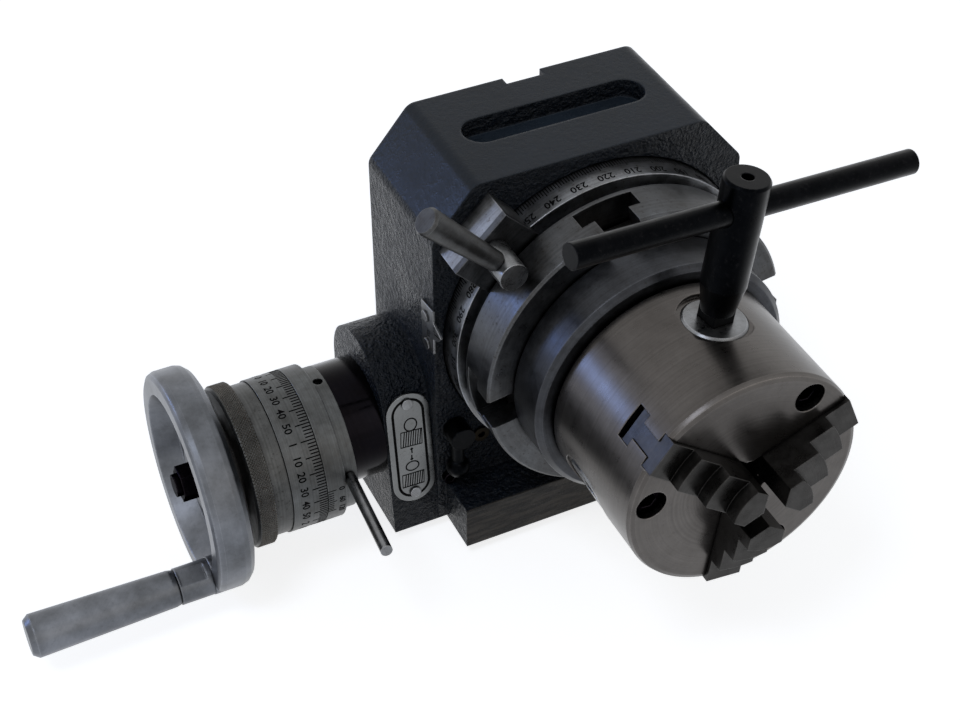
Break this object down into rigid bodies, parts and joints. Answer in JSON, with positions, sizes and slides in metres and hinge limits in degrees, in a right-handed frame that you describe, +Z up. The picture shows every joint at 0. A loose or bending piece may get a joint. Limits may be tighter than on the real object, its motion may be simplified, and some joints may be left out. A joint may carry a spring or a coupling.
{
  "type": "rotary table",
  "caption": "Vertical rotary table on a cast body with a worm drive, handwheel, graduated dial, table clamps and a scroll chuck with its key.",
  "frame": {"origin": "middle of the base's flat underside, below the table's axis", "axes": "+Y from the table's face to the back of the casting along the table's axis, +Z up, the handwheel towards -X"},
  "size_m": [0.287, 0.1735, 0.1742],
  "materials": {
    "casting_paint": "dark blue-black paint on cast iron, fine cast texture",
    "ground_steel": "ground, with oily marks",
    "turned_steel": "fine turned",
    "satin_chrome": "satin",
    "hardened_steel": "hardened and ground",
    "black_oxide": "black oxide",
    "lever_steel": "satin",
    "grey_iron": "machined",
    "bearing_bronze": "machined bronze",
    "plate_aluminium": "satin",
    "oiler_brass": "satin"
  },
  "bodies": {
    "casting": {"body_casting": "casting_paint", "rear_bearing_plate": "grey_iron", "rear_plate_screws": "black_oxide", "index_plate": "plate_aluminium", "index_plate_rivets": "plate_aluminium", "instruction_plate": "plate_aluminium", "instruction_plate_rivets": "plate_aluminium", "ball_oiler": "oiler_brass", "sleeve_keeper_screw": "black_oxide", "worm_bore_plug": "black_oxide", "lock_pad": "bearing_bronze", "clamp_strap_upper": "ground_steel", "clamp_strap_lower": "ground_steel"},
    "table": {"rotary_table": "ground_steel", "worm_wheel": "bearing_bronze", "worm_wheel_screws": "black_oxide", "spindle_washer": "black_oxide", "spindle_nut": "black_oxide", "adapter_plate": "turned_steel", "adapter_t_nuts": "turned_steel", "adapter_bolts": "black_oxide", "chuck_body": "turned_steel", "chuck_back_cover": "turned_steel", "chuck_cover_screws": "black_oxide", "chuck_mounting_screws": "black_oxide", "pinion_retaining_pins": "black_oxide"},
    "scroll": {"scroll_plate": "hardened_steel"},
    "jaw_1": {"jaw_1": "hardened_steel"},
    "jaw_2": {"jaw_2": "hardened_steel"},
    "jaw_3": {"jaw_3": "hardened_steel"},
    "pinion_1": {"pinion_1": "black_oxide"},
    "pinion_2": {"pinion_2": "black_oxide"},
    "pinion_3": {"pinion_3": "black_oxide"},
    "chuck_key": {"chuck_key": "black_oxide", "chuck_key_bar": "black_oxide"},
    "clamp_upper": {"clamp_screw_upper": "black_oxide", "clamp_lever_upper": "lever_steel"},
    "clamp_lower": {"clamp_screw_lower": "black_oxide", "clamp_lever_lower": "lever_steel"},
    "worm_lock": {"worm_lock_screw": "black_oxide", "worm_lock_lever": "black_oxide"},
    "sleeve": {"eccentric_sleeve": "black_oxide", "worm_bush_outer": "bearing_bronze", "worm_bush_inner": "bearing_bronze", "engagement_ring": "turned_steel", "engagement_ring_screws": "black_oxide", "engagement_pin": "satin_chrome", "vernier_ring": "ground_steel"},
    "worm": {"worm_shaft": "hardened_steel", "worm_adjusting_nuts": "black_oxide", "dial_hub_key": "black_oxide", "dial_hub": "hardened_steel", "handwheel": "satin_chrome", "handwheel_key": "black_oxide", "handwheel_nut": "black_oxide", "crank_stud": "satin_chrome"},
    "dial": {"graduated_dial": "satin_chrome"},
    "lock_ring": {"dial_lock_ring": "satin_chrome"},
    "grip": {"crank_grip": "satin_chrome"}
  },
  "joints": [
    {"name": "sleeve_swing", "type": "hinge", "parent": "casting", "child": "sleeve", "pos_m": [-0.07, 0.00863, 0.03621], "axis": [1, 0, 0], "range_deg": [0, 35]},
    {"name": "worm_spin", "type": "hinge", "parent": "sleeve", "child": "worm", "pos_m": [-0.1, 0.0044, 0.035], "axis": [1, 0, 0], "continuous": true},
    {"name": "table_spin", "type": "hinge", "parent": "casting", "child": "table", "pos_m": [0, 0, 0.08], "axis": [0, 1, 0], "continuous": true},
    {"name": "scroll_spin", "type": "hinge", "parent": "table", "child": "scroll", "pos_m": [0, -0.09, 0.08], "axis": [0, 1, 0], "range_deg": [-180, 900]},
    {"name": "dial_spin", "type": "hinge", "parent": "worm", "child": "dial", "pos_m": [-0.109, 0.0044, 0.035], "axis": [1, 0, 0], "continuous": true},
    {"name": "lock_ring_turn", "type": "hinge", "parent": "worm", "child": "lock_ring", "pos_m": [-0.121, 0.0044, 0.035], "axis": [1, 0, 0], "range_deg": [0, 90]},
    {"name": "grip_spin", "type": "hinge", "parent": "worm", "child": "grip", "pos_m": [-0.18, -0.01975, 0.01325], "axis": [1, 0, 0], "continuous": true},
    {"name": "clamp_upper_turn", "type": "hinge", "parent": "casting", "child": "clamp_upper", "pos_m": [-0.04384, -0.03, 0.12384], "axis": [0, 1, 0], "range_deg": [-50, 50]},
    {"name": "clamp_lower_turn", "type": "hinge", "parent": "casting", "child": "clamp_lower", "pos_m": [0.04384, -0.03, 0.03616], "axis": [0, 1, 0], "range_deg": [-60, 15]},
    {"name": "worm_lock_turn", "type": "hinge", "parent": "casting", "child": "worm_lock", "pos_m": [-0.0525, -0.017, 0.042], "axis": [0, 1, 0], "range_deg": [-30, 30]},
    {"name": "chuck_key_pull", "type": "slide", "parent": "pinion_1", "child": "chuck_key", "axis": [0.1219, 0, 0.9925], "range_m": [0, 0.012]},
    {"name": "jaw_1_slide", "type": "slide", "parent": "table", "child": "jaw_1", "axis": [-0.7986, 0, 0.6018], "range_m": [-0.003, 0.015]},
    {"name": "jaw_2_slide", "type": "slide", "parent": "table", "child": "jaw_2", "axis": [-0.1219, 0, -0.9925], "range_m": [-0.003, 0.015]},
    {"name": "jaw_3_slide", "type": "slide", "parent": "table", "child": "jaw_3", "axis": [0.9205, 0, 0.3907], "range_m": [-0.003, 0.015]},
    {"name": "pinion_1_spin", "type": "hinge", "parent": "table", "child": "pinion_1", "pos_m": [0.00426, -0.0825, 0.11474], "axis": [0.1219, 0, 0.9925], "range_deg": [-720, 3600]},
    {"name": "pinion_2_spin", "type": "hinge", "parent": "table", "child": "pinion_2", "pos_m": [-0.03222, -0.0825, 0.06632], "axis": [-0.9205, 0, -0.3907], "range_deg": [-720, 3600]},
    {"name": "pinion_3_spin", "type": "hinge", "parent": "table", "child": "pinion_3", "pos_m": [0.02795, -0.0825, 0.05894], "axis": [0.7986, 0, -0.6018], "range_deg": [-720, 3600]}
  ],
  "couplings": [
    {"joint": "table_spin", "follows": "worm_spin", "ratio": 0.013889},
    {"joint": "jaw_1_slide", "follows": "scroll_spin", "m_per_rad": 0.00095493},
    {"joint": "jaw_2_slide", "follows": "scroll_spin", "m_per_rad": 0.00095493},
    {"joint": "jaw_3_slide", "follows": "scroll_spin", "m_per_rad": 0.00095493},
    {"joint": "pinion_1_spin", "follows": "scroll_spin", "ratio": 4},
    {"joint": "pinion_2_spin", "follows": "scroll_spin", "ratio": 4},
    {"joint": "pinion_3_spin", "follows": "scroll_spin", "ratio": 4}
  ]
}
